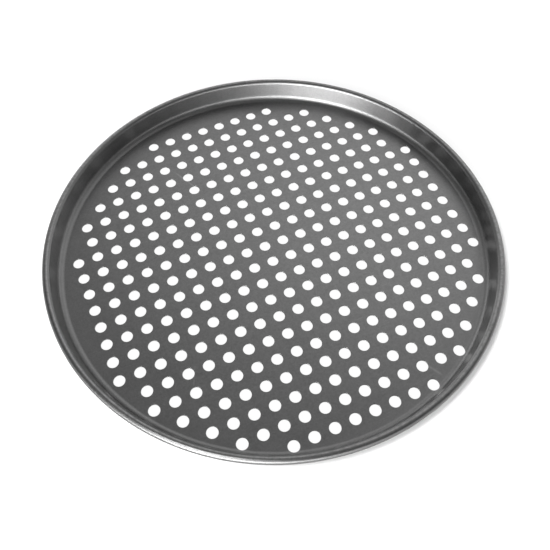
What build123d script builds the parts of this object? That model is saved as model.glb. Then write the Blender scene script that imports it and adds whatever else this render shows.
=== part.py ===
from build123d import *
from math import acos, cos, degrees, hypot, radians, sin, sqrt, tan
import os

# A perforated pizza pan: one pressed steel sheet whose rim is curled round a stiffening wire.
# The origin is at the middle of the pan, on the surface that it stands on. +Z is up, and the
# rows of holes run along X and Y. All sizes are in millimetres.

MM = 1.0

# Sheet
sheet_thickness = 0.7 * MM
floor_radius = 157.8 * MM  # to the crease, where floor and wall would meet if it were sharp
crown_rise = 3.4 * MM  # how far the middle of the floor stands above its edge
rest_ring_width = 3.0 * MM  # flat ring round the floor, which the pan stands on
crease_inner_radius = 5.0 * MM
pan_height = 17.0 * MM
wall_lean_degrees = 11.2  # outwards from the vertical

# Holes
hole_diameter = 8.0 * MM
hole_pitch = 14.5 * MM
hole_field_margin = 8.5 * MM  # no hole's centre is nearer than this to a crease-sized circle
hole_field_shift_x = 1.2 * MM  # the punched field isn't quite in the middle of the pan
hole_field_shift_y = -4.9 * MM

# Rim
rim_wire_diameter = 4.0 * MM
rim_wire_clearance = 0.2 * MM  # between the wire and the sheet that is curled round it
rim_wire_end_gap = 1.0 * MM  # between the two cut ends of the wire
curl_end_gap = 0.3 * MM  # between the edge of the curled sheet and the wall

overrun = 5.0 * MM  # how far a punch runs past the floor, so that it also clears the crease

# Worked out from the sizes above
curl_inner_radius = rim_wire_diameter / 2 + rim_wire_clearance
curl_outer_radius = curl_inner_radius + sheet_thickness
wall_lean = radians(wall_lean_degrees)
curl_centre_z = pan_height - curl_outer_radius
wall_rise = curl_centre_z - sheet_thickness + curl_outer_radius * sin(wall_lean)
wall_run = wall_rise * tan(wall_lean)
curl_centre_r = floor_radius + wall_run + curl_outer_radius * cos(wall_lean)
crease_centre_r = floor_radius - crease_inner_radius * tan(radians(90 - wall_lean_degrees) / 2)
crease_centre_z = sheet_thickness + crease_inner_radius
crown_edge_r = crease_centre_r - rest_ring_width
crown_under_radius = (crown_edge_r**2 + crown_rise**2) / (2 * crown_rise)
crown_centre_z = crown_rise - crown_under_radius
curl_sweep_degrees = 360 - degrees(acos((curl_inner_radius - curl_end_gap) / curl_outer_radius))


def on_circle(centre_r, centre_z, radius, angle_degrees):
    """The point of a circle in the XZ plane at an angle from the outward direction."""
    angle = radians(angle_degrees)
    return (centre_r + radius * cos(angle), centre_z + radius * sin(angle))


def sheet_face(depth):
    """One face of the sheet in half section, from the middle of the floor to the curl's edge.

    depth is how far the face lies below the cooking face: 0 for that face, and the sheet's
    thickness for the one underneath. The crown, the crease and the curl keep their centres,
    so their radii change with depth.
    """
    level = sheet_thickness - depth
    crown_radius = crown_under_radius + level
    crown_end_r = sqrt(crown_radius**2 - (level - crown_centre_z) ** 2)
    crown_half_degrees = degrees(acos((level - crown_centre_z) / crown_radius))
    crease_radius = crease_inner_radius + depth
    curl_radius = curl_outer_radius - depth
    crease_end = on_circle(crease_centre_r, crease_centre_z, crease_radius, -wall_lean_degrees)
    curl_start = on_circle(curl_centre_r, curl_centre_z, curl_radius, 180 - wall_lean_degrees)
    return [
        CenterArc((0, crown_centre_z), crown_radius, 90, -crown_half_degrees),
        Line((crown_end_r, level), (crease_centre_r, level)),
        CenterArc((crease_centre_r, crease_centre_z), crease_radius, -90, 90 - wall_lean_degrees),
        Line(crease_end, curl_start),
        CenterArc((curl_centre_r, curl_centre_z), curl_radius, 180 - wall_lean_degrees, -curl_sweep_degrees),
    ]


def make_blank():
    """The pressed pan before its floor is punched."""
    cooking_face = sheet_face(0)
    under_face = sheet_face(sheet_thickness)
    middle = Line(under_face[0] @ 0, cooking_face[0] @ 0)
    edge = Line(cooking_face[-1] @ 1, under_face[-1] @ 1)
    outline = Wire(cooking_face + [edge] + under_face + [middle])
    return revolve(Plane.XZ * make_face(outline), Axis.Z)


def hole_places():
    """Centres of the holes: a square grid, kept where it lies inside the punched circle."""
    field_radius = floor_radius - hole_field_margin
    count = 2 * (int(field_radius / hole_pitch) + 1)
    steps = [(i - (count - 1) / 2) * hole_pitch for i in range(count)]
    places = [(x, y) for x in steps for y in steps if hypot(x, y) < field_radius]
    return [(x + hole_field_shift_x, y + hole_field_shift_y) for x, y in places]


def make_punches():
    """One round punch for each hole, square to the crowned floor where it goes through."""
    length = sheet_thickness + 2 * overrun
    punch = Cylinder(hole_diameter / 2, length)
    crown_centre = Vector(0, 0, crown_centre_z)
    middle_radius = crown_under_radius + sheet_thickness / 2
    punches = []
    for x, y in hole_places():
        height = crown_centre_z + sqrt(middle_radius**2 - x**2 - y**2)
        place = Vector(x, y, height)
        punches.append(Plane(origin=place, z_dir=place - crown_centre) * punch)
    return punches


def make_pan_sheet():
    """The pressed and punched sheet."""
    return make_blank() - make_punches()


def make_rim_wire():
    """The round wire inside the curl, bent to a ring whose two ends almost meet."""
    gap_degrees = degrees(rim_wire_end_gap / curl_centre_r)
    section = Plane.XZ * Pos(curl_centre_r, curl_centre_z) * Circle(rim_wire_diameter / 2)
    return revolve(section, Axis.Z, 360 - gap_degrees)


def main():
    """Writes one file for each piece."""
    os.makedirs("parts", exist_ok=True)
    pieces = {"pan_sheet": make_pan_sheet(), "rim_wire": make_rim_wire()}
    for name, solid in pieces.items():
        export_step(solid, f"parts/{name}.step")
    print("holes", len(hole_places()))


main()
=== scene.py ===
import math

import bpy
import numpy as np
from mathutils import Matrix, Vector
from mathutils.geometry import delaunay_2d_cdt


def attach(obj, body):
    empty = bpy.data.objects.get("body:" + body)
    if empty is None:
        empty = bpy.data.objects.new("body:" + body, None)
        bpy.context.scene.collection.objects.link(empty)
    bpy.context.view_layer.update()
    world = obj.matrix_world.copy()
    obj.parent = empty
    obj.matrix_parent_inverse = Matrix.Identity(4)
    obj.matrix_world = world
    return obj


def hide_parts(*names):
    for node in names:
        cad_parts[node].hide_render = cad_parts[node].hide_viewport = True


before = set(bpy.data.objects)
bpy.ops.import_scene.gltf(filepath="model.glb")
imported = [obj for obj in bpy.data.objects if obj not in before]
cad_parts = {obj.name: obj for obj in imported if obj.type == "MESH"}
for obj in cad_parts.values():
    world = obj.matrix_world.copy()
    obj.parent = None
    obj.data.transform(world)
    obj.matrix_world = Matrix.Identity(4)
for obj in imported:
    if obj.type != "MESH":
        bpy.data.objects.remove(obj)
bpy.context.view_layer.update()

# Everything below is in metres, in the part's own frame: the origin is at the middle of the pan,
# on the surface that it stands on, +Z is up, and the rows of holes run along X and Y.

MM = 0.001

# Sizes of the pressed sheet
sheet_thickness = 0.7 * MM
floor_radius = 157.8 * MM  # to the crease, where floor and wall would meet if it were sharp
crown_rise = 3.4 * MM  # how far the middle of the floor stands above its edge
rest_ring_width = 3.0 * MM  # flat ring round the floor, which the pan stands on
crease_inner_radius = 5.0 * MM
pan_height = 17.0 * MM
wall_lean = math.radians(11.2)  # outwards from the vertical
rim_bore_radius = 2.2 * MM
curl_end_gap = 0.3 * MM  # between the edge of the curled sheet and the wall
ripple_height = 0.05 * MM  # of the waves that the punching leaves in the floor

# Waves round the rim: how many there are, their height and their phase
rim_waves = [(3, 0.05 * MM, 0.6), (7, 0.03 * MM, 2.1), (19, 0.015 * MM, 0.0)]
rim_inset = 0.15 * MM  # how far the top of the rim is set in and down, so that its waves stay
rim_drop = 0.01 * MM  # inside the plain section

# Sizes of the punched holes
hole_radius = 4.0 * MM
hole_pitch = 14.5 * MM
hole_field_radius = 149.3 * MM
hole_field_shift = (1.2 * MM, -4.9 * MM)
lip_width = 0.30 * MM
lip_depth = 0.22 * MM
burr_width = 0.06 * MM
hole_clear_radius = hole_radius + 2 * lip_width  # kept free of the floor's other points

# Rings of points down a hole: how far outside its straight side and how deep each one lies, the
# tilt of its normal in degrees, and its wear, which the material also lightens as a painted highlight.
# The first three are the lip, the last is the burr.
hole_rings = np.array([
    (lip_width, 0.0, 90.0, 0.25),
    (0.35 * lip_width, 0.22 * lip_depth, 48.0, 0.9),
    (0.0, lip_depth, 0.0, 0.6),
    (0.0, sheet_thickness - burr_width, 0.0, 0.0),
    (burr_width, sheet_thickness, -90.0, 0.5),
])

crest_width = 0.35 * MM  # how far down from its top the bead is worn and lightened by a painted highlight

# How finely the meshes are divided
turn_steps = 360
hole_steps = 24
foot_rows = 3  # of loose points in the floor, round the foot of the crease
crease_steps = 10
wall_steps = 6
outer_curl_steps = 44
edge_steps = 6
inner_curl_steps = 30
stretched_rows = range(crease_steps - 3, crease_steps + wall_steps)  # upper crease and inner wall

# Worked out from the sizes above
curl_outer_radius = rim_bore_radius + sheet_thickness
curl_centre_z = pan_height - curl_outer_radius
wall_rise = curl_centre_z - sheet_thickness + curl_outer_radius * math.sin(wall_lean)
wall_run = wall_rise * math.tan(wall_lean)
curl_centre_r = floor_radius + wall_run + curl_outer_radius * math.cos(wall_lean)
crease_centre_r = floor_radius - crease_inner_radius * math.tan((math.pi / 2 - wall_lean) / 2)
crease_centre_z = sheet_thickness + crease_inner_radius
crown_edge_r = crease_centre_r - rest_ring_width
curl_sweep = 2 * math.pi - math.acos((rim_bore_radius - curl_end_gap) / curl_outer_radius)


# Shape of the floor

def floor_height(x, y, depth=0.0):
    """Height of the cooking face, or of a surface at some depth below it: a shallow crown whose
    slope grows with the radius and fades to nothing across the flat outer ring, then the start of
    the crease's arc. A faint ripple is left in the sheet by the punching."""
    reach = np.hypot(x, y)
    radius = np.linspace(0.0, crease_centre_r, 400)
    fade = np.clip((crease_centre_r - radius) / (2 * rest_ring_width), 0.0, 1.0)
    slope = -2 * crown_rise * radius / crown_edge_r**2 * fade**2 * (3 - 2 * fade)
    fall = np.concatenate([[0.0], np.cumsum((slope[1:] + slope[:-1]) / 2 * np.diff(radius))])
    crown = np.interp(reach, radius, fall - fall[-1])
    calm = np.clip(1 - (reach / crown_edge_r) ** 2, 0.0, 1.0)
    ripple = ripple_height * np.sin(61 * x + 23 * y + 1.1) * np.sin(47 * y - 19 * x + 0.4)
    arc_radius = crease_inner_radius + depth
    past = np.maximum(reach - crease_centre_r, 0.0)
    climb = arc_radius - np.sqrt(arc_radius**2 - past**2)
    return sheet_thickness - depth + crown + calm * ripple + climb


def floor_normal(x, y):
    """Unit normals of the cooking face, from the slope of its height along X and along Y."""
    step = 0.2 * MM
    along_x = (floor_height(x + step, y) - floor_height(x - step, y)) / (2 * step)
    along_y = (floor_height(x, y + step) - floor_height(x, y - step)) / (2 * step)
    normal = np.stack([-along_x, -along_y, np.ones_like(along_x)], -1)
    return normal / np.linalg.norm(normal, axis=-1, keepdims=True)


def hole_places():
    """Centres of the holes: a square grid, kept where it lies inside the punched circle."""
    count = 2 * (int(hole_field_radius / hole_pitch) + 1)
    steps = (np.arange(count) - (count - 1) / 2) * hole_pitch
    x, y = np.meshgrid(steps, steps, indexing="ij")
    kept = np.hypot(x, y) < hole_field_radius
    return np.stack([x[kept], y[kept]], -1) + np.array(hole_field_shift)


# The floor's mesh ends just outside the outermost hole, a little way up the crease.
floor_reach = np.hypot(*hole_places().T).max() + hole_clear_radius


# The pressed sheet

def full_turn(steps, offset=0.0):
    """Angles evenly spaced round a whole turn, moved on by a share of a step."""
    return (np.arange(steps) + offset) * 2 * math.pi / steps


def arc(centre, radius, start, end, steps):
    """Points of a circular arc in half section, steps + 1 of them from one angle to the other."""
    angle = np.linspace(start, end, steps + 1)
    return np.stack([centre[0] + radius * np.cos(angle), centre[1] + radius * np.sin(angle)], -1)


def rim_section():
    """Half section of the crease, wall and curl: up the cooking side, round the curl's edge and
    back down the outer side, from the edge of the floor's mesh above to its edge below."""
    outer_crease_radius = crease_inner_radius + sheet_thickness
    past = floor_reach - crease_centre_r
    upper_join = math.asin(past / crease_inner_radius) - math.pi / 2
    lower_join = math.asin(past / outer_crease_radius) - math.pi / 2
    start = math.pi - wall_lean
    end = start - curl_sweep
    middle_radius = rim_bore_radius + sheet_thickness / 2
    edge_r = curl_centre_r + middle_radius * math.cos(end)
    edge_z = curl_centre_z + middle_radius * math.sin(end)
    crease = (crease_centre_r, crease_centre_z)
    curl = (curl_centre_r, curl_centre_z)
    inner_crease = arc(crease, crease_inner_radius, upper_join, -wall_lean, crease_steps)
    outer_curl = arc(curl, curl_outer_radius, start, end, outer_curl_steps)
    edge = arc((edge_r, edge_z), sheet_thickness / 2, end, end - math.pi, edge_steps)
    inner_curl = arc(curl, rim_bore_radius, end, start, inner_curl_steps)
    outer_crease = arc(crease, outer_crease_radius, -wall_lean, lower_join, crease_steps)
    share = np.linspace(0, 1, wall_steps + 1)[1:-1, None]
    inner_wall = inner_crease[-1] + share * (outer_curl[0] - inner_crease[-1])
    outer_wall = inner_curl[-1] + share * (outer_crease[0] - inner_curl[-1])
    return np.concatenate([
        inner_crease, inner_wall, outer_curl, edge[1:-1], inner_curl, outer_wall, outer_crease])


def turned_rim():
    """The half section carried round the pan, as a grid of points and a grid of unit normals. The
    wall and curl are a few hundredths of a millimetre out of round, as a spun curl is."""
    section = rim_section()
    turn = full_turn(turn_steps)
    radius, height = section[:, 0, None], section[:, 1, None]
    lift = np.clip((height - crease_centre_z) / (pan_height - crease_centre_z), 0.0, 1.0)
    wobble = sum(size * np.sin(count * turn + phase) for count, size, phase in rim_waves)
    radius = radius + lift * (wobble - rim_inset)
    height = np.broadcast_to(height - lift * rim_drop, radius.shape)
    points = np.stack([radius * np.cos(turn), radius * np.sin(turn), height], -1)
    along = np.gradient(points, axis=0)
    around = np.roll(points, -1, axis=1) - np.roll(points, 1, axis=1)
    normal = np.cross(along, around)
    normal /= np.linalg.norm(normal, axis=-1, keepdims=True)
    return points, normal


def punched_rings():
    """Rings of points down each hole, and their normals: the lip that the punch rolled in, the
    straight side of the hole and the small burr below. Depth is measured from the floor."""
    places = hole_places()
    turn = full_turn(hole_steps)
    outside, depths, tilts, _ = hole_rings.T
    radii = hole_radius + outside
    x = places[:, None, None, 0] + radii[None, :, None] * np.cos(turn)
    y = places[:, None, None, 1] + radii[None, :, None] * np.sin(turn)
    z = floor_height(x, y, depths[None, :, None])
    inward = -np.stack([np.cos(turn), np.sin(turn), np.zeros_like(turn)], -1)
    upward = floor_normal(x, y)
    tilt = np.radians(tilts)[None, :, None, None]
    normal = np.cos(tilt) * inward[None, None] + np.sin(tilt) * upward
    normal /= np.linalg.norm(normal, axis=-1, keepdims=True)
    return np.stack([x, y, z], -1), normal


def crease_points():
    """Rows of loose points round the foot of the crease, where the floor's mesh has to follow the
    arc. A point that would fall in a hole or on its lip is left out."""
    radius = np.linspace(crease_centre_r, floor_reach, foot_rows + 1)[:-1, None]
    turn = full_turn(turn_steps, 0.5)
    flat = np.stack([radius * np.cos(turn), radius * np.sin(turn)], -1).reshape(-1, 2)
    gap = np.linalg.norm(flat[:, None] - hole_places()[None], axis=-1).min(1)
    return flat[gap > hole_clear_radius]


def floor_triangles(outer, rings, loose):
    """Triangles of the floor between its outer edge and the holes, as indices into the outer
    points followed by the holes' points and the loose ones. A triangle with all its corners on
    one hole is dropped, and the rest run anticlockwise as seen from above."""
    flat = np.concatenate([outer, rings.reshape(-1, 2), loose])
    loops = [np.arange(len(outer))]
    loops += list(len(outer) + np.arange(rings[..., 0].size).reshape(rings.shape[:2]))
    owner = [np.full(len(loop), i) for i, loop in enumerate(loops)]
    owner = np.concatenate(owner + [np.zeros(len(loose), int)])
    edges = np.concatenate([np.stack([loop, np.roll(loop, -1)], -1) for loop in loops])
    scaled = flat / MM
    corners = [Vector(p) for p in scaled.tolist()]
    inside_outline, tolerance = 1, 1e-6
    points, _, faces, _, _, _ = delaunay_2d_cdt(corners, edges.tolist(), [], inside_outline, tolerance)
    assert len(points) == len(flat)
    faces = np.array([list(f) for f in faces])
    whose = owner[faces]
    in_hole = (whose[:, 0] == whose[:, 1]) & (whose[:, 1] == whose[:, 2]) & (whose[:, 0] > 0)
    faces = faces[~in_hole]
    a, b, c = (scaled[faces[:, i]] for i in range(3))
    ab, ac = b - a, c - a
    turned = ab[:, 0] * ac[:, 1] - ab[:, 1] * ac[:, 0] < 0
    faces[turned] = faces[turned][:, ::-1]
    return faces


def grid_quads(index):
    """Quads between neighbouring rows and columns of a grid of vertex indices, whose columns
    close on themselves."""
    nxt = np.roll(index, -1, axis=-1)
    low, high = index[..., :-1, :], index[..., 1:, :]
    low_next, high_next = nxt[..., :-1, :], nxt[..., 1:, :]
    return np.stack([low, low_next, high_next, high], -1).reshape(-1, 4)


def mesh_object(name, points, normals, wear_and_highlight, triangles, quads):
    """A mesh object from whole arrays, smooth, with the given normal and wear-and-highlight value at
    each vertex.
    """
    mesh = bpy.data.meshes.new(name)
    loops = np.concatenate([triangles.ravel(), quads.ravel()]).astype(np.int32)
    counts = np.concatenate([np.full(len(triangles), 3), np.full(len(quads), 4)])
    starts = np.concatenate([[0], np.cumsum(counts)[:-1]]).astype(np.int32)
    mesh.vertices.add(len(points))
    mesh.vertices.foreach_set("co", points.astype(np.float32).ravel())
    mesh.loops.add(len(loops))
    mesh.loops.foreach_set("vertex_index", loops)
    mesh.polygons.add(len(counts))
    mesh.polygons.foreach_set("loop_start", starts)
    mesh.polygons.foreach_set("use_smooth", np.ones(len(counts), bool))
    mesh.update(calc_edges=True)
    mesh.validate()
    mesh.normals_split_custom_set_from_vertices(normals.tolist())
    mesh.attributes.new("wear_and_highlight", "FLOAT", "POINT").data.foreach_set("value", wear_and_highlight.astype(np.float32))
    piece = bpy.data.objects.new(name, mesh)
    bpy.context.scene.collection.objects.link(piece)
    return piece


def make_pan_sheet():
    """The whole sheet as one closed mesh: turned rim, punched rings, upper and lower floor. The
    rows that were stretched over the die take the second material."""
    rim, rim_normal = turned_rim()
    rings, ring_normal = punched_rings()
    loose = crease_points()
    upper_loose = np.column_stack([loose, floor_height(*loose.T)])
    lower_loose = np.column_stack([loose, floor_height(*loose.T, sheet_thickness)])
    loose_normal = floor_normal(*loose.T)
    rim_normal[0] = floor_normal(rim[0, :, 0], rim[0, :, 1])
    rim_normal[-1] = -rim_normal[0]
    rim_index = np.arange(rim.shape[0] * rim.shape[1]).reshape(rim.shape[:2])
    ring_index = rim_index.size + np.arange(rings[..., 0].size).reshape(rings.shape[:3])
    loose_index = rim_index.size + ring_index.size + np.arange(2 * len(loose)).reshape(2, -1)
    triangles = floor_triangles(rim[0, :, :2], rings[:, 0, :, :2], loose)
    upper = np.concatenate([rim_index[0], ring_index[:, 0].ravel(), loose_index[0]])
    lower = np.concatenate([rim_index[-1], ring_index[:, -1].ravel(), loose_index[1]])
    points = np.concatenate([rim.reshape(-1, 3), rings.reshape(-1, 3), upper_loose, lower_loose])
    normals = np.concatenate([
        rim_normal.reshape(-1, 3), ring_normal.reshape(-1, 3), loose_normal, -loose_normal])
    # wear, partly a painted highlight: lighter along the top of the curl and round the hole lips
    crest = np.exp(-((points[:rim_index.size, 2] - pan_height) / crest_width) ** 2)
    lips = np.broadcast_to(hole_rings[:, 3, None], ring_index.shape).ravel()
    wear_and_highlight = np.concatenate([crest, lips, np.zeros(2 * len(loose))])
    faces = np.concatenate([upper[triangles], lower[triangles][:, ::-1]])
    quads = np.concatenate([grid_quads(rim_index)[:, ::-1], grid_quads(ring_index)])
    sheet = mesh_object("pan_sheet_pressed", points, normals, wear_and_highlight, faces, quads)
    stretched = np.zeros(len(sheet.data.polygons), np.int32)
    for row in stretched_rows:
        first = len(faces) + row * turn_steps
        stretched[first:first + turn_steps] = 1
    sheet.data.polygons.foreach_set("material_index", stretched)
    return sheet


# Shader nodes

def empty_tree(holder):
    """The node tree of a material or a world, switched on and emptied."""
    holder.use_nodes = True
    holder.node_tree.nodes.clear()
    return holder.node_tree


def plug(tree, made, inputs):
    """Gives each named input of a node a value, or a link from a socket."""
    for name, value in inputs.items():
        if isinstance(value, bpy.types.NodeSocket):
            tree.links.new(value, made.inputs[name])
        else:
            made.inputs[name].default_value = value


def add_node(tree, kind, inputs, **settings):
    """A shader node with its settings and its inputs."""
    made = tree.nodes.new("ShaderNode" + kind)
    for name, value in settings.items():
        setattr(made, name, value)
    plug(tree, made, inputs)
    return made


def calculate(tree, operation, *values):
    """The result of one sum on values or sockets."""
    return add_node(tree, "Math", dict(enumerate(values)), operation=operation).outputs[0]


def vector_of(tree, operation, *values):
    """The vector that one sum on vectors gives."""
    return add_node(tree, "VectorMath", dict(enumerate(values)), operation=operation).outputs["Vector"]


def number_of(tree, operation, *values):
    """The number that one sum on vectors gives."""
    return add_node(tree, "VectorMath", dict(enumerate(values)), operation=operation).outputs["Value"]


def rise(tree, value, low, high):
    """A smooth step from 0 at one value to 1 at another."""
    inputs = {0: value, 1: low, 2: high}
    return add_node(tree, "MapRange", inputs, interpolation_type="SMOOTHSTEP").outputs[0]


def new_material(name):
    """A node material with one Principled shader."""
    material = bpy.data.materials.new(name)
    tree = empty_tree(material)
    shader = add_node(tree, "BsdfPrincipled", {})
    add_node(tree, "OutputMaterial", {0: shader.outputs[0]})
    return material, tree, shader


# Materials

grain_mean = 0.5


def grain(tree, vector, size, detail):
    """Soft noise from 0 to 1 whose grains are about a given size across."""
    inputs = {"Vector": vector, "Scale": 1 / size, "Detail": detail, "Roughness": 0.55}
    return add_node(tree, "TexNoise", inputs).outputs["Fac"]


def gather(tree, middle, grains, others):
    """A middle value plus each part times its weight. The grains count from their mean, so that
    they leave the middle where it is."""
    total = middle - grain_mean * sum(weight for _, weight in grains)
    for part, weight in [*grains, *others]:
        total = calculate(tree, "MULTIPLY_ADD", part, weight, total)
    return total


def relief_normal(tree, parts):
    """The shading normal of a relief: each part times its height in metres."""
    relief = gather(tree, 0.0, [], parts)
    return add_node(tree, "Bump", {"Strength": 1.0, "Distance": 1.0, "Height": relief}).outputs[0]


def shaded_place(tree):
    """Where a shaded point lies: its place, how far it is from the pan's axis, the direction from
    the axis to it, and its height."""
    place = add_node(tree, "TexCoord", {}).outputs["Object"]
    flat = vector_of(tree, "MULTIPLY", place, (1, 1, 0))
    radius = number_of(tree, "LENGTH", flat)
    around = vector_of(tree, "NORMALIZE", flat)
    height = add_node(tree, "SeparateXYZ", {0: place}).outputs["Z"]
    return place, radius, around, height


def scratches(tree, vector, turn_degrees, reach, width):
    """Sparse hairlines in the floor: noise drawn out along one direction, cut to its peaks."""
    inputs = {"Vector": vector, "Rotation": (0, 0, math.radians(turn_degrees)),
              "Scale": (1 / reach, 1 / width, 0)}
    drawn = add_node(tree, "Mapping", inputs).outputs[0]
    return rise(tree, grain(tree, drawn, 1.0, 1.0), 0.66, 0.80)


def rub(tree, vector, start, end, width):
    """One light rub mark between two points of the floor: 1 on its line, fading over a width."""
    run = Vector(end) - Vector(start)
    along = Vector((run.x, run.y, 0)) / run.length_squared
    across = Vector((-run.y, run.x, 0)) / run.length / width
    place = vector_of(tree, "SUBTRACT", vector, (*start, 0))
    from_middle = calculate(tree, "SUBTRACT", number_of(tree, "DOT_PRODUCT", place, along), 0.5)
    aside = calculate(tree, "ABSOLUTE", number_of(tree, "DOT_PRODUCT", place, across))
    inner = rise(tree, calculate(tree, "ABSOLUTE", from_middle), 0.55, 0.35)
    return calculate(tree, "MULTIPLY", inner, rise(tree, aside, 1.0, 0.0))


coating_tone = 0.2
coating_roughness = 0.38
wall_anisotropy = 0.8
quarter_turn = 0.25  # turns the wall's highlight from along its turning marks to across them
turned_line_gap = 0.35 * MM
die_line_gap = 0.12 * MM

# Start, end and half width of each rub mark on the floor
rub_marks = [
    ((-43 * MM, 99 * MM), (-31 * MM, 72 * MM), 1.0 * MM),
    ((-97 * MM, -66 * MM), (-95 * MM, -75 * MM), 1.8 * MM),
    ((-87 * MM, -66 * MM), (-93 * MM, -80 * MM), 1.0 * MM),
    ((52 * MM, -124 * MM), (61 * MM, -139 * MM), 1.4 * MM),
]


def floor_marks(tree, place):
    """Hairline scratches in two directions, and the rub marks."""
    marks = calculate(tree, "MAXIMUM", scratches(tree, place, 24, 26 * MM, 0.30 * MM),
                      scratches(tree, place, -58, 18 * MM, 0.26 * MM))
    for start, end, width in rub_marks:
        marks = calculate(tree, "MAXIMUM", marks, rub(tree, place, start, end, width))
    return marks


def coated_steel(name, stretched):
    """Dark grey satin coating over pressed steel: fine grain, faint mottling, hairline scratches
    on the floor, drawing marks up the wall and turning marks round it, and smoother wear on the crest
    of the curl and round the lips of the holes, made brighter with a painted highlight. Where the
    sheet was stretched over the die, its turning marks draw the reflections out up the wall."""
    material, tree, shader = new_material(name)
    place, radius, around, height = shaded_place(tree)
    mottle = grain(tree, place, 34 * MM, 3.0)
    cloud = grain(tree, place, 7 * MM, 2.0)
    fine = grain(tree, place, 1.3 * MM, 2.0)
    tooth = grain(tree, place, 0.5 * MM, 1.0)
    wall = rise(tree, radius, crease_centre_r, floor_radius)
    floor = calculate(tree, "SUBTRACT", 1.0, wall)
    marks = calculate(tree, "MULTIPLY", floor_marks(tree, place), floor)
    rolled_out = vector_of(tree, "MULTIPLY", around, (floor_radius, floor_radius, 0))
    drawn = grain(tree, rolled_out, 2.6 * MM, 2.0)
    climb = calculate(tree, "DIVIDE", calculate(tree, "ADD", radius, height), turned_line_gap)
    lines = add_node(tree, "CombineXYZ", {2: climb}).outputs[0]
    lines = vector_of(tree, "MULTIPLY_ADD", around, (6, 6, 6), lines)
    turned = grain(tree, lines, 1.0, 1.0)
    wall_drawn = calculate(tree, "MULTIPLY", wall, calculate(tree, "SUBTRACT", drawn, grain_mean))
    wall_turned = calculate(tree, "MULTIPLY", wall, calculate(tree, "SUBTRACT", turned, grain_mean))
    # wear, partly a painted highlight: the crest of the curl and the hole lips are made lighter
    wear_and_highlight = add_node(tree, "Attribute", {}, attribute_name="wear_and_highlight").outputs["Fac"]
    wear_patches = rise(tree, grain(tree, place, 2.2 * MM, 3.0), 0.25, 0.65)
    wear_and_highlight = calculate(tree, "MULTIPLY", wear_and_highlight, wear_patches)
    share = gather(tree, 1.0, [(mottle, 0.14), (cloud, 0.14), (fine, 0.34), (tooth, 0.30)],
                   [(wall_drawn, 0.12), (wall_turned, 0.10), (marks, 0.30), (wear_and_highlight, 0.45)])
    rough = gather(tree, coating_roughness, [(mottle, 0.06), (fine, 0.10), (tooth, 0.06)],
                   [(wall_turned, 0.08), (marks, -0.06), (wear_and_highlight, -0.08)])
    normal = relief_normal(tree, [
        (cloud, 0.030 * MM), (fine, 0.022 * MM), (tooth, 0.007 * MM), (wall_drawn, 0.012 * MM),
        (wall_turned, 0.010 * MM), (marks, -0.004 * MM)])
    tone = calculate(tree, "MULTIPLY", share, coating_tone)
    plug(tree, shader, {"Base Color": tone, "Roughness": rough, "Normal": normal, "Metallic": 1.0})
    if stretched:
        turned_way = vector_of(tree, "CROSS_PRODUCT", place, (0, 0, -1))
        plug(tree, shader, {"Tangent": turned_way, "Anisotropic": wall_anisotropy,
                            "Anisotropic Rotation": quarter_turn})
    return material


def bare_wire():
    """Plain drawn steel: bright, with fine die lines along the wire and dull oxide patches."""
    material, tree, shader = new_material("rim_wire_steel")
    place, radius, around, height = shaded_place(tree)
    across = add_node(tree, "CombineXYZ", {
        0: calculate(tree, "DIVIDE", radius, die_line_gap),
        2: calculate(tree, "DIVIDE", height, die_line_gap)}).outputs[0]
    lines = grain(tree, vector_of(tree, "MULTIPLY_ADD", around, (9, 9, 9), across), 1.0, 1.0)
    oxide = rise(tree, grain(tree, place, 5 * MM, 4.0), 0.48, 0.66)
    tone = gather(tree, 0.40, [], [(lines, 0.16), (oxide, -0.16)])
    rough = gather(tree, 0.28, [], [(lines, 0.12), (oxide, 0.18)])
    normal = relief_normal(tree, [(lines, 0.006 * MM), (oxide, 0.004 * MM)])
    plug(tree, shader, {"Base Color": tone, "Roughness": rough, "Normal": normal, "Metallic": 1.0})
    return material


# Photograph's view

photo_camera_place = (-114.5 * MM, -260.8 * MM, 414.1 * MM)
photo_camera_turn = (32.293, 0.080, -24.005)
photo_lens_mm = 44.0
photo_sensor_mm = 36.0
view_turn = Matrix.Rotation(math.radians(photo_camera_turn[2]), 3, "Z")


def add_camera():
    """The camera where the photograph was taken from, found from the pattern of holes."""
    camera = bpy.data.cameras.new("photo_camera")
    camera.sensor_width = photo_sensor_mm
    camera.sensor_fit = "HORIZONTAL"
    camera.lens = photo_lens_mm
    camera.clip_start = 10 * MM
    seen = bpy.data.objects.new("photo_camera", camera)
    seen.location = photo_camera_place
    seen.rotation_euler = [math.radians(a) for a in photo_camera_turn]
    bpy.context.scene.collection.objects.link(seen)
    bpy.context.scene.camera = seen


def seen_place(right, away, up):
    """A place given as the photograph sees it: to its right, away from its camera, and up."""
    return view_turn @ Vector((right, away, up))


# Studio

def add_lamp(name, kind, place, strength):
    """A lamp that faces the pan from its place."""
    lamp = bpy.data.lights.new(name, kind)
    lamp.energy = strength
    holder = bpy.data.objects.new(name, lamp)
    holder.location = place
    holder.rotation_euler = (-place).to_track_quat("-Z", "Y").to_euler()
    bpy.context.scene.collection.objects.link(holder)
    return holder


def add_lamps():
    """A small softbox near the camera, and a distant soft key light for the floor and the pan's
    shadow on it. The key is kept out of reflections, where the panels below take its place."""
    softbox = add_lamp("softbox", "AREA", seen_place(-0.24, -0.45, 0.45), 1.7)
    softbox.data.size = 0.26
    key = add_lamp("soft_key", "SUN", seen_place(-0.80, -0.40, 1.80), 2.6)
    key.data.angle = math.radians(13)
    key.visible_glossy = False


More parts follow.
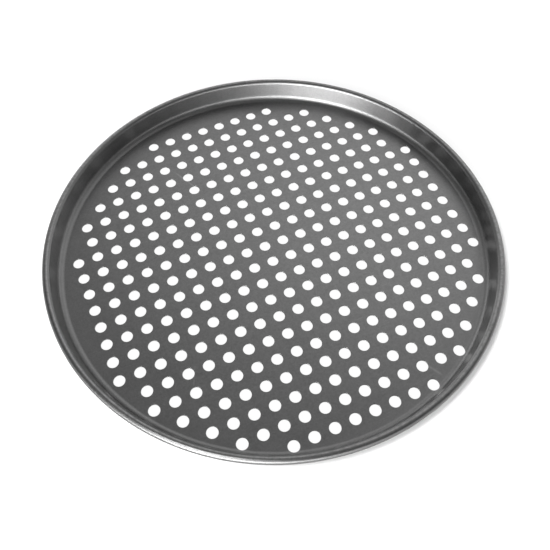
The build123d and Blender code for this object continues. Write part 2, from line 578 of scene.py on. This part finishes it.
# Panels of the studio: direction clockwise from straight away as the photograph sees it, half
# width, height above the horizon and half height, all in degrees, then brightness.
studio_panels = [
    (54, 24, 8, 13, 1.7),
    (124, 18, 8, 13, 0.7),
    (158, 20, 6, 12, 2.5),
    (203, 21, 3, 12, 26.0),
    (262, 24, 8, 13, 0.5),
    (330, 18, 8, 13, 2.3),
    (18, 42, 46, 16, 1.33),
    (0, 400, 85, 25, 0.23),
]
studio_dimness = 0.02  # how bright the studio is between its panels


def add_world():
    """A dim studio with soft bright panels round it, each fading as a bell curve from its middle.
    The camera sees plain white."""
    world = bpy.data.worlds.new("studio")
    bpy.context.scene.world = world
    tree = empty_tree(world)
    way = add_node(tree, "TexCoord", {}).outputs["Generated"]
    axes = [(1, 0, 0), (0, 1, 0), (0, 0, 1)]
    right, away, up = (number_of(tree, "DOT_PRODUCT", way, seen_place(*axis)) for axis in axes)
    turn = calculate(tree, "ARCTAN2", right, away)
    climb = calculate(tree, "ARCSINE", up)
    light = studio_dimness
    for azimuth, half_width, height, half_height, brightness in studio_panels:
        aside = calculate(tree, "SUBTRACT", turn, math.radians(azimuth))
        aside = calculate(tree, "WRAP", aside, math.pi, -math.pi)
        aside = calculate(tree, "DIVIDE", aside, math.radians(half_width))
        above = calculate(tree, "SUBTRACT", climb, math.radians(height))
        above = calculate(tree, "DIVIDE", above, math.radians(half_height))
        spread = calculate(tree, "MULTIPLY", above, above)
        spread = calculate(tree, "MULTIPLY_ADD", aside, aside, spread)
        fading = calculate(tree, "POWER", 0.5, spread)
        light = calculate(tree, "MULTIPLY_ADD", fading, brightness, light)
    seen = add_node(tree, "LightPath", {}).outputs["Is Camera Ray"]
    around = add_node(tree, "Background", {"Color": (1, 1, 1, 1), "Strength": light}).outputs[0]
    white = add_node(tree, "Background", {"Color": (1, 1, 1, 1)}).outputs[0]
    mixed = add_node(tree, "MixShader", {0: seen, 1: around, 2: white}).outputs[0]
    add_node(tree, "OutputWorld", {0: mixed})


floor_half_side = 6.0
floor_glow = 0.05
painted_light_radius = 151.0 * MM  # of the floor that glows white under the pan, painted light over the pan's shadow: as far as its rest ring
spot_margin = 0.5 * MM  # how much wider than its hole a painted spot of light is
soft_edge = 1.0 * MM  # over which white ends


def painted_light_spots(tree, place):
    """Painted pools of light, as if lit through the holes: 1 on the floor below each hole and a little
    way round it, else 0.
    """
    field = vector_of(tree, "SUBTRACT", place, (*hole_field_shift, 0))
    corner = vector_of(tree, "SNAP", field, (hole_pitch, hole_pitch, 1))
    centre = vector_of(tree, "ADD", corner, (hole_pitch / 2, hole_pitch / 2, 0))
    off_centre = number_of(tree, "DISTANCE", field, centre)
    spot_radius = hole_radius + spot_margin
    spot = rise(tree, off_centre, spot_radius + soft_edge, spot_radius)
    punched = calculate(tree, "LESS_THAN", number_of(tree, "LENGTH", centre), hole_field_radius)
    return calculate(tree, "MULTIPLY", spot, punched)


def studio_floor_material():
    """Pale and matt, so that it keeps the pan's shadow. To the camera it is painted white under the
    pan, light that covers the pan's shadow there, and in painted spots of light below each hole
    outside the rest ring, so that the holes show it white. In reflections it is white all over. A
    camera below it sees through it to the pan's underside."""
    material = bpy.data.materials.new("studio_floor")
    tree = empty_tree(material)
    ray = add_node(tree, "LightPath", {}).outputs
    place = add_node(tree, "TexCoord", {}).outputs["Object"]
    radius = number_of(tree, "LENGTH", place)
    # painted light: white under the pan where its shadow falls, and painted spots of light below the
    # holes
    under = rise(tree, radius, painted_light_radius + soft_edge, painted_light_radius)
    under = calculate(tree, "MAXIMUM", under, painted_light_spots(tree, place))
    under = calculate(tree, "MULTIPLY", under, ray["Is Camera Ray"])
    mirrored = calculate(tree, "MAXIMUM", ray["Is Glossy Ray"], ray["Is Transmission Ray"])
    shown_white = calculate(tree, "MAXIMUM", mirrored, under)
    lit = add_node(tree, "BsdfDiffuse", {"Color": (0.8, 0.8, 0.8, 1)}).outputs[0]
    glow = add_node(tree, "Emission", {"Strength": floor_glow}).outputs[0]
    plain = add_node(tree, "AddShader", {0: lit, 1: glow}).outputs[0]
    white = add_node(tree, "Emission", {"Strength": 1.0}).outputs[0]
    mixed = add_node(tree, "MixShader", {0: shown_white, 1: plain, 2: white}).outputs[0]
    from_below = add_node(tree, "NewGeometry", {}).outputs["Backfacing"]
    clear = calculate(tree, "MULTIPLY", from_below, ray["Is Camera Ray"])
    open_below = add_node(tree, "BsdfTransparent", {}).outputs[0]
    mixed = add_node(tree, "MixShader", {0: clear, 1: mixed, 2: open_below}).outputs[0]
    add_node(tree, "OutputMaterial", {0: mixed})
    return material


def add_floor():
    """The surface that the pan stands on."""
    mesh = bpy.data.meshes.new("studio_floor")
    side = floor_half_side
    corners = [(-side, -side, 0), (side, -side, 0), (side, side, 0), (-side, side, 0)]
    mesh.from_pydata(corners, [], [(0, 1, 2, 3)])
    mesh.materials.append(studio_floor_material())
    floor = bpy.data.objects.new("studio_floor", mesh)
    bpy.context.scene.collection.objects.link(floor)


def main():
    """Builds the pan's looks on the frame, then the studio round it."""
    sheet = make_pan_sheet()
    sheet.data.materials.append(coated_steel("pan_coating", False))
    sheet.data.materials.append(coated_steel("pan_coating_wall", True))
    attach(sheet, "root")
    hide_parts("pan_sheet")
    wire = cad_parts["rim_wire"]
    wire.data.materials.clear()
    wire.data.materials.append(bare_wire())
    add_camera()
    add_world()
    add_lamps()
    add_floor()
    bpy.context.scene.view_settings.view_transform = "Standard"


main()
